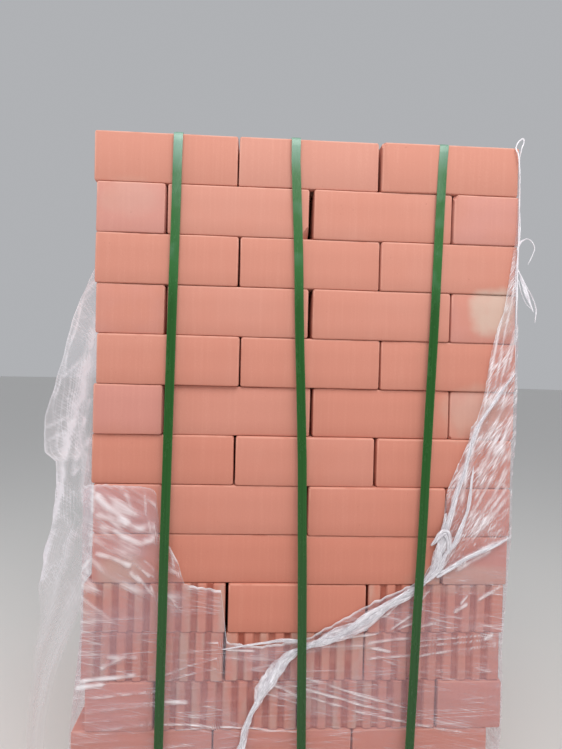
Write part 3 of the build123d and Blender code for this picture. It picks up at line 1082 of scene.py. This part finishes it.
def drawWrap():
    w = wrapShape
    low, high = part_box("stretch_film")
    frontTop, frontFoot = frame["strapFront"]
    deep, broad = high.y - low.y, w["front"]
    columns = wrapColumns()
    total = len(columns)
    starts = {"left": 0.0, "front": deep, "right": deep + broad, "back": 2 * deep + broad}
    tearLeft = leftWall(w["tearAt"])
    bm, layers = filmGrid(total, w["rows"])
    where = {}
    for v in bm.verts:
        k = round((v.co.x + 0.5) * total)
        rise = v.co.y + 0.5
        face, share = columns[k % total]
        top = wrapTop(face, share, tearLeft + (high.x - tearLeft) * share)
        z = w["foot"] + (top - w["foot"]) * rise
        across, back, out = wrapPlace(face, share, z, low, high)
        wide = deep if face in ("left", "right") else broad
        s = starts[face] + share * wide
        haze, height, white, slant, drop, level = (
            frontCrinkle(across, z) if face == "front" else sideCrinkle(s, z))
        height *= held(w["atCorner"] + min(share, 1 - share) * wide / w["corner"])
        if wide == broad:
            strap = frontTop + (frontFoot - frontTop) * (w["strapTop"] - z) / w["strapLong"]
            gap = abs(strap) - abs(back) - w["rest"]
            height = heldByStraps(across, z, height, max(0.0, gap))
        torn = (1 - rise) * (z - w["foot"]) / max(rise, 0.01)
        if face == "front" or (face == "left" and share > 0.8):
            # a white rim along the torn edge: partly rolled film, partly painted glint
            rim = held(1 - torn / 0.007)
            white = max(white, (0.7 if across > -0.2 else 0.28) * rim)
            height += 0.0015 * rim
        v.co = Vector((across, back, z)) + Vector(out) * height
        carry(v, layers, haze, white, slant, drop, level)
        where[v] = (s if k < total else 2 * deep + 2 * broad, z)
    return addPiece(filmMesh("film_wrap", bm, where), filmWrap, "stretch_film", "stretch_film")


filmPiece = drawWrap()
print("film wrapped,", len(filmPiece.data.polygons), "faces")


# gathered film along the torn edge, in plies that cross each other
# points: across, forward of the wrap, up, half width, half thickness, in tenths of a millimetre

gathers = dict(
    rope=[(2580, 60, 7150, 50, 30), (2520, 70, 6700, 80, 40), (2460, 70, 6320, 100, 45),
          (2340, 50, 6040, 90, 40), (2120, 40, 5800, 90, 30), (1880, 40, 5620, 100, 35),
          (1440, 60, 5340, 130, 45), (1000, 60, 5100, 130, 45), (600, 50, 4900, 110, 45),
          (260, 40, 4740, 80, 35), (10, 40, 4660, 70, 30)],
    leaf=[(40, 40, 4680, 60, 30), (-180, 60, 4520, 100, 35), (-400, 80, 4280, 150, 50),
          (-600, 100, 4000, 150, 50), (-760, 90, 3720, 90, 40), (-880, 80, 3470, 60, 30),
          (-960, 80, 3180, 80, 30), (-1030, 80, 2800, 90, 30), (-1090, 70, 2350, 70, 30),
          (-1120, 60, 1900, 40, 20)],
    band=[(2440, 60, 5970, 50, 22), (2620, 60, 6110, 50, 22), (2940, 60, 6310, 60, 22),
          (3400, 50, 6530, 50, 18), (3640, 40, 6640, 30, 14), (3800, 20, 6720, 12, 10)],
    bundle=[(2360, 60, 6060, 50, 24), (2500, 70, 6500, 60, 26), (2620, 70, 7000, 50, 24),
            (2740, 70, 7500, 50, 22), (2880, 70, 7900, 50, 22), (2980, 70, 8300, 50, 22),
            (3060, 70, 8600, 50, 22), (3180, 70, 8850, 40, 22), (3380, 60, 9140, 40, 18),
            (3590, 50, 9450, 30, 16), (3790, 30, 9710, 20, 12)],
    tail=[(2200, 50, 5860, 60, 26), (2460, 70, 6120, 60, 26), (2590, 70, 6400, 50, 24),
          (2760, 70, 6640, 50, 22), (2900, 60, 7010, 40, 20), (2980, 60, 7300, 40, 18),
          (3020, 50, 7650, 30, 16), (3070, 40, 8000, 20, 12)],
    knob=[(2620, 60, 6400, 40, 30), (2620, 80, 6660, 60, 40), (2550, 90, 6800, 70, 50),
          (2450, 90, 6730, 60, 50), (2360, 80, 6620, 40, 30), (2310, 60, 6560, 20, 15)],
    branch=[(20, 40, 4800, 40, 16), (-300, 40, 4810, 40, 18), (-720, 40, 4760, 30, 15),
            (-1100, 40, 4700, 20, 13), (-1400, 30, 4640, 12, 10)])

strands = dict(
    edge=[(3780, 30, 9800, 10, 8), (3770, 30, 10700, 9, 8), (3755, 40, 11400, 12, 9),
          (3750, 40, 11930, 11, 9), (3745, 40, 12380, 8, 8), (3745, 40, 12820, 9, 8),
          (3735, 40, 13300, 10, 9), (3700, 50, 13600, 14, 10), (3660, 30, 13720, 13, 10),
          (3680, 10, 13810, 11, 8), (3740, 0, 13900, 12, 9), (3800, 0, 13935, 12, 9),
          (3810, 10, 13860, 10, 8), (3760, 30, 13730, 9, 8), (3720, 40, 13520, 8, 7)],
    edge2=[(3770, 20, 10900, 9, 7), (3730, 30, 11500, 8, 7), (3775, 30, 12150, 8, 7),
           (3760, 30, 12620, 7, 6)],
    hair=[(3720, 40, 11900, 12, 10), (3790, 30, 12060, 16, 12), (3860, 20, 12110, 12, 10),
          (3930, 20, 12130, 10, 8), (4020, 10, 12070, 9, 7), (4065, 10, 11960, 8, 7),
          (4010, 20, 11800, 6, 6), (3945, 20, 11660, 5, 5)],
    wisp=[(3770, 30, 11580, 11, 8), (3800, 20, 11500, 12, 8), (3950, -10, 11280, 11, 8),
          (4080, -30, 11080, 10, 8), (4165, -40, 10860, 10, 8), (4150, -40, 10620, 8, 7)],
    wisp2=[(3780, 20, 11400, 9, 7), (3850, 10, 11160, 8, 7), (3960, -20, 10980, 7, 6),
           (4080, -40, 10880, 6, 5)],
    web=[(3790, 20, 11560, 10, 4), (3860, 10, 11360, 30, 5), (3950, -10, 11160, 35, 5),
         (4040, -30, 10980, 20, 5), (4120, -40, 10820, 10, 4)])

# how many plies, how far they spread, each one's share of the width, and its haze
plies = dict(film_rope=(gathers, 7, 0.75, 0.38, 0.2), film_strands=(strands, 1, 0.0, 1.0, 0.4))
plyShape = dict(around=8, step=0.0035, crumple=0.6)


def curvePoint(points, share):             # a smooth line through the points
    last = len(points) - 1
    i = min(int(share * last), last - 1)
    t = share * last - i
    a, b, c, d = [points[held(i + k, 0, last)] for k in (-1, 0, 1, 2)]
    return [0.5 * (2 * b[n] + (c[n] - a[n]) * t + (2 * a[n] - 5 * b[n] + 4 * c[n] - d[n]) * t * t
                   + (3 * b[n] - a[n] - 3 * c[n] + d[n]) * t ** 3) for n in range(len(b))]


def plyTube(whole, points, seed, spread, share, haze):
    p = plyShape
    length = sum(math.dist(a[:3], b[:3]) for a, b in zip(points, points[1:]))
    bm, layers = filmGrid(p["around"], round(length / p["step"]))
    where = {}
    for v in bm.verts:
        at, turn = v.co.y + 0.5, (v.co.x + 0.5) * 2 * math.pi
        aside, forward = math.cos(turn), math.sin(turn)
        x, ahead, z, wide, thick = curvePoint(points, at)
        after, before = curvePoint(points, min(1, at + 0.01)), curvePoint(points, max(0, at - 0.01))
        run = Vector((after[0] - before[0], 0, after[2] - before[2])).normalized()
        side = Vector((run.z, 0, -run.x))
        down = at * length
        sway = held(1.6 * ripple(down * 14, seed, 0), -1, 1)
        lift = ripple(down * 17, seed, 4)
        n = ripple(aside * 1.4, forward * 1.4 + down * 40, seed)
        lump = ripple(down * 55, aside, seed + 5)
        ends = held(min(at, 1 - at) * 12) ** 0.5
        swell = (1 + p["crumple"] * (n + 0.6 * lump)) * ends * share
        centre = Vector((x, hugged("front", z) - ahead, z)) + side * wide * spread * sway
        centre.y -= lift * thick * spread
        v.co = centre + side * aside * wide * swell - Vector((0, 1, 0)) * forward * thick * swell
        fold = max(0.0, 1 - abs(n) * 3.2)
        cloud = held(0.55 + 1.1 * ripple(down * 30, seed, 9))
        carry(v, layers, haze, fold * fold * cloud, 1.0, 0.0, 0.0)
        where[v] = (aside * wide * share + seed * 0.01, down)
    joinTo(whole, filmMesh("ply", bm, where))


def gatherEdge():
    made = []
    for name, (lines, count, spread, share, haze) in plies.items():
        whole = bmesh.new()
        for i, rows in enumerate(lines.values()):
            for ply in range(count):
                plyTube(whole, inMetres(rows, tenths), i * 7.3 + ply * 1.9, spread, share, haze)
        made.append(addPiece(finished(whole, name), filmRope, "stretch_film"))
    return made


loosePieces = gatherEdge()
print("torn edge gathered")


# the torn end that hangs loose at the left

veil = dict(columns=110, rows=290, foot=0.066, pleat=0.005, crumple=0.0035, wall=0.002,
            belly=0.026, ply=0.003, corner=-0.386, narrowest=0.003, ragged=0.003, full=0.18,
            plane=-0.509, soft=(0.62, 0.1), ending=(0.1, 0.25), rim=0.004,
            hole=(-0.397, 0.697), holeSize=(0.013, 0.034), edges=(0.02, 0.012))

# its free edge: how far up, across and back
veilEdge = inMetres([
    (600, -4765, -5050), (3600, -4760, -5050), (4050, -4720, -5050), (4640, -4680, -5050),
    (5220, -4570, -5050), (5690, -4610, -5050), (6320, -4560, -5050), (6740, -4430, -5050),
    (7540, -4330, -5050), (7970, -4350, -5050), (8120, -4530, -5050), (8430, -4570, -5050),
    (8750, -4560, -5050), (9160, -4430, -5050), (9680, -4290, -5050), (10170, -4230, -4910),
    (10730, -4220, -4450), (11300, -4150, -3980), (11820, -4020, -3550),
    (12000, -3900, -3400)], tenths)

# its inner edge, which leaves the stack lower down
veilInner = inMetres([
    (600, -4560, -5030), (3410, -4450, -5000), (4120, -4340, -4850), (4580, -4220, -4650),
    (5180, -4040, -4200), (5710, -3960, -3700), (6230, -3900, -3400), (6800, -3880, -3265),
    (12000, -3860, -3265)], tenths)

# its folds, as the wrap's, where they show from the front: they only whiten it, partly as painted
# glints
veilFolds = inMetres([
    (-376, 1126, -391, 1100, 8, 0, 0.8), (-391, 1100, -410, 1014, 4, 0, 0.7),
    (-410, 1014, -428, 944, 4, 0, 0.7), (-428, 944, -441, 895, 4, 0, 0.6),
    (-454, 881, -455, 835, 4, 0, 0.7), (-372, 1050, -384, 973, 12, 0, 1.0),
    (-384, 973, -391, 914, 17, 0, 1.0), (-391, 914, -404, 879, 17, 0, 1.0),
    (-404, 879, -414, 841, 14, 0, 1.0), (-414, 841, -423, 800, 13, 0, 1.0),
    (-423, 800, -428, 743, 12, 0, 1.0), (-428, 743, -435, 713, 12, 0, 1.0),
    (-435, 713, -444, 675, 13, 0, 1.0), (-444, 675, -452, 626, 14, 0, 1.0),
    (-452, 626, -457, 590, 14, 0, 1.0), (-450, 857, -410, 875, 5, 0, 0.6),
    (-446, 833, -419, 847, 5, 0, 0.6), (-453, 805, -425, 799, 6, 0, 0.7),
    (-401, 799, -378, 827, 12, 0, 0.8), (-404, 771, -381, 792, 8, 0, 0.7),
    (-427, 944, -402, 969, 5, 0, 0.6), (-410, 1069, -376, 1105, 5, 0, 0.6),
    (-406, 686, -373, 745, 10, 0, 0.9), (-400, 712, -376, 740, 6, 0, 0.7),
    (-407, 571, -391, 522, 9, 0, 0.5), (-414, 571, -404, 500, 8, 0, 0.4),
    (-459, 469, -446, 487, 5, 0, 0.8), (-467, 357, -458, 382, 4, 0, 0.6),
    (-386, 1000, -400, 940, 6, 0, 0.5), (-382, 900, -392, 850, 10, 0, 0.7),
    (-392, 840, -404, 780, 8, 0, 0.5), (-430, 860, -436, 820, 5, 0, 0.4)], shares=1)


def seenFrom(place, plane):                # where it shows on a plane across the view
    eye = cameraSet["place"]
    return eye[0] + (place.x - eye[0]) * (plane - eye[1]) / (place.y - eye[1])


def clearOfHole(x, z):                     # 0 where the bricks show through a gap in the film
    (atX, atZ), (wide, high) = veil["hole"], veil["holeSize"]
    return held(math.hypot((x - atX) / wide, (z - atZ) / high) * 2 - 1.4)


def veilLook(across, z, width, pleats, bright, shut):
    # haze, whiteness and the three directions of its creases
    h = veil
    cloud = held(0.5 + 1.3 * ripple(across * 3, z * 9, 12))
    low = rising(-z, -h["soft"][0], h["soft"][1])
    ending = rising(z, *h["ending"])
    rim = held(1 - min(across, 1 - across) * width / h["rim"])
    # white folds and rim: partly milky film, partly painted glint
    creaseAndGlint = max(bright, 0.5 * rim * (1 - low), 0.3 * held(pleats) ** 3) * shut
    haze = 0.2 + 0.14 * cloud - 0.04 * low * ending - 0.14 * low * (1 - ending)
    free, inner = h["edges"]
    edge = held(across * width / free) * held((1 - across) * width / inner)
    haze *= (1 - low * (1 - edge) * 0.8) * (0.2 + 0.8 * shut)
    return haze, held(creaseAndGlint) * (1 - 0.82 * low), 1 - 0.75 * low, 0.8 - 0.7 * low, 0.5 - 0.4 * low


def hangVeil():
    h = veil
    lines = [[(p[0], p[i]) for p in edge] for edge in (veilEdge, veilInner) for i in (1, 2)]
    bm, layers = filmGrid(h["columns"], h["rows"])
    where = {}
    for v in bm.verts:
        across, rise = v.co.x + 0.5, v.co.y + 0.5
        z = h["foot"] + (veilEdge[-1][0] - h["foot"]) * rise
        wall = min(leftWall(z), h["corner"]) - h["wall"]
        tipX, tipY, inX, inY = [alongLine(line, z) for line in lines]
        inX = min(wall, inX)
        tipX = min(inX - h["narrowest"], tipX + h["ragged"] * ripple(z * 30, 1, 0))
        line = Vector((tipX - inX, tipY - inY, 0))
        outward = Vector((line.y, -line.x, 0)).normalized()
        size = held(line.length / h["full"])
        pleats = math.sin(across * 15 + z * 5 + 2.0 * ripple(across * 1.5, z * 3, 0))
        free = held(across * 5) * held((1 - rise) * 6 + 0.1) * size
        depth = (pleats * h["pleat"] + ripple(across * 5, z * 14, 4) * h["crumple"]) * free
        depth *= 1 - 0.75 * held((across - 0.75) * 4)
        depth -= h["belly"] * math.sin(math.pi * across) * size
        v.co = Vector((inX, inY, z)) + line * across + outward * depth
        v.co.x = min(v.co.x, wall)
        bright = foldNear(seenFrom(v.co, h["plane"]), z, veilFolds)[1]
        v.co -= outward * h["ply"] * bright * free
        v.co.x = min(v.co.x, wall)
        shut = clearOfHole(seenFrom(v.co, h["plane"]), z)
        carry(v, layers, *veilLook(across, z, line.length, pleats, bright, shut))
        where[v] = (across * line.length, z)
    return addPiece(filmMesh("film_veil", bm, where), filmVeil, "stretch_film", "film_flap")


veilPiece = hangVeil()
print("loose end hung")


# floor, world and lamps

studio = dict(floor=(0.78, 0.77, 0.75, 1), floorRough=0.8, radius=40, around=96,
              world=(0.94, 0.96, 1.0, 1), worldPower=0.46, aim=(0.0, -0.5, 1.05), lampSize=2)

# power, place, colour
lamps = dict(key=(63, (0.15, -2.1, 2.9), (1.0, 0.98, 0.95)),
             fill=(10, (2.6, -1.6, 1.6), (1.0, 1.0, 1.0)),
             side=(22, (-2.6, -0.75, 1.25), (1.0, 1.0, 1.0)))


def layFloor(s):
    bm = bmesh.new()
    bmesh.ops.create_circle(bm, cap_ends=True, segments=s["around"], radius=s["radius"])
    mesh = finished(bm, "floor")
    material, shader, _ = newMaterial("floor_pale")
    feed(shader, "Base Color", s["floor"])
    feed(shader, "Roughness", s["floorRough"])
    mesh.materials.append(material)
    floor = bpy.data.objects.new("floor", mesh)
    scene.collection.objects.link(floor)


def addLamp(name, power, place, colour):
    data = bpy.data.lights.new(name, "AREA")
    data.energy = power
    data.size = studio["lampSize"]
    data.color = colour
    lamp = bpy.data.objects.new(name, data)
    lamp.location = place
    toAim = Vector(studio["aim"]) - Vector(place)
    lamp.rotation_euler = toAim.to_track_quat("-Z", "Y").to_euler()
    scene.collection.objects.link(lamp)


def lightStudio(s):
    world = scene.world or bpy.data.worlds.new("sky")
    scene.world = world
    world.use_nodes = True
    back = world.node_tree.nodes["Background"]
    back.inputs["Color"].default_value = s["world"]
    back.inputs["Strength"].default_value = s["worldPower"]
    for name, lamp in lamps.items():
        addLamp(name, *lamp)


layFloor(studio)
lightStudio(studio)
print("studio lit")
